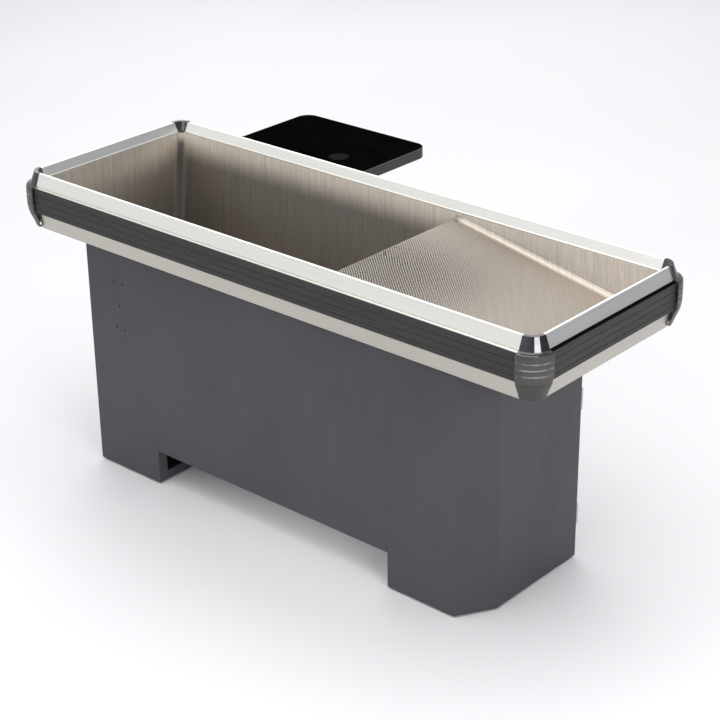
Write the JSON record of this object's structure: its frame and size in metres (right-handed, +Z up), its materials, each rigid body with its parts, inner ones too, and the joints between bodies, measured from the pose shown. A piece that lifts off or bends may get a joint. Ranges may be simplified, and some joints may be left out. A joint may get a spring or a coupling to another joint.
{
  "type": "checkout counter",
  "caption": "Shop checkout counter: recessed stainless packing tray in a bumper rim on painted pedestals, with a rear writing desk, a drawer and a cupboard door.",
  "frame": {"origin": "on the floor under the middle of the bounding box of the whole counter, writing desk included", "axes": "+X along the counter towards the pedestal with the drawer, +Y towards the cashier, +Z up"},
  "size_m": [1.766, 1.065, 0.9155],
  "materials": {
    "anodised_aluminium": "bright satin anodised",
    "bumper_pvc": "satin extruded",
    "cap_plastic": "glossy moulded",
    "stainless_sheet": "brushed",
    "painted_body": "fine matt powder coat",
    "inner_steel": "matt powder coat",
    "galvanised_steel": "galvanised",
    "zinc_fasteners": "zinc plated",
    "bracket_paint": "matt powder coat",
    "desk_laminate": "glossy laminate",
    "desk_edging": "satin",
    "grommet_plastic": "satin",
    "satin_handle": "satin",
    "lock_chrome": "polished",
    "foot_rubber": "matt"
  },
  "bodies": {
    "counter": {"back_apron": "painted_body", "bumpers_long": "bumper_pvc", "bumpers_short": "bumper_pvc", "cable_grommet": "grommet_plastic", "centre_panel": "painted_body", "corner_cap_back_left": "cap_plastic", "corner_cap_back_right": "cap_plastic", "corner_cap_front_left": "cap_plastic", "corner_cap_front_right": "cap_plastic", "desk_bars": "bracket_paint", "desk_bracket_bolts": "zinc_fasteners", "desk_brackets": "bracket_paint", "desk_edge_band": "desk_edging", "desk_plate": "desk_laminate", "desk_screws": "zinc_fasteners", "door_hinge_fixed_leaves": "zinc_fasteners", "door_hinge_pins": "zinc_fasteners", "drawer_divider": "inner_steel", "drawer_lock_strike": "galvanised_steel", "drawer_runner_fixed": "galvanised_steel", "foot_nuts": "zinc_fasteners", "frame_cross_members": "galvanised_steel", "frame_rail_screws": "zinc_fasteners", "frame_rails_long": "galvanised_steel", "frame_rails_short": "galvanised_steel", "left_pedestal_back": "painted_body", "left_pedestal_base": "inner_steel", "left_pedestal_posts": "inner_steel", "left_pedestal_rails": "painted_body", "left_pedestal_shelf": "inner_steel", "left_pedestal_shell": "painted_body", "levelling_feet": "foot_rubber", "panel_rivets": "zinc_fasteners", "right_pedestal_base": "inner_steel", "right_pedestal_inner_side": "painted_body", "right_pedestal_plinth": "painted_body", "right_pedestal_shelf": "inner_steel", "right_pedestal_shell": "painted_body", "right_pedestal_top_plate": "inner_steel", "rim_corner_angles": "galvanised_steel", "rim_corner_screws": "zinc_fasteners", "rim_profiles_long": "anodised_aluminium", "rim_profiles_short": "anodised_aluminium", "skirt_front": "painted_body", "skirt_left": "painted_body", "skirt_right": "painted_body", "tray_liner": "stainless_sheet", "tray_support_channels": "galvanised_steel"},
    "drawer": {"drawer_box": "inner_steel", "drawer_front": "painted_body", "drawer_handle": "satin_handle", "drawer_runner_moving": "galvanised_steel", "drawer_lock_body": "lock_chrome"},
    "drawer_runner_middle": {"drawer_runner_middle": "galvanised_steel"},
    "drawer_lock_plug": {"drawer_lock_plug": "lock_chrome"},
    "door": {"door_panel": "painted_body", "door_handle": "satin_handle", "door_lock_body": "lock_chrome", "door_hinge_moving_leaves": "zinc_fasteners"},
    "door_lock_plug": {"door_lock_plug": "lock_chrome"}
  },
  "joints": [
    {"name": "drawer_slide", "type": "slide", "parent": "counter", "child": "drawer", "axis": [0, 1, 0], "range_m": [0, 0.28]},
    {"name": "runner_middle_slide", "type": "slide", "parent": "counter", "child": "drawer_runner_middle", "axis": [0, 1, 0], "range_m": [0, 0.14]},
    {"name": "drawer_lock_turn", "type": "hinge", "parent": "drawer", "child": "drawer_lock_plug", "pos_m": [0.4635, 0.0475, 0.656], "axis": [0, -1, 0], "range_deg": [0, 90]},
    {"name": "door_swing", "type": "hinge", "parent": "counter", "child": "door", "pos_m": [0.59975, 0.0609, 0.295], "axis": [0, 0, -1], "range_deg": [0, 110]},
    {"name": "door_lock_turn", "type": "hinge", "parent": "door", "child": "door_lock_plug", "pos_m": [0.372, 0.0475, 0.515], "axis": [0, 1, 0], "range_deg": [0, 90]}
  ],
  "couplings": [
    {"joint": "runner_middle_slide", "follows": "drawer_slide", "ratio": 0.5}
  ]
}
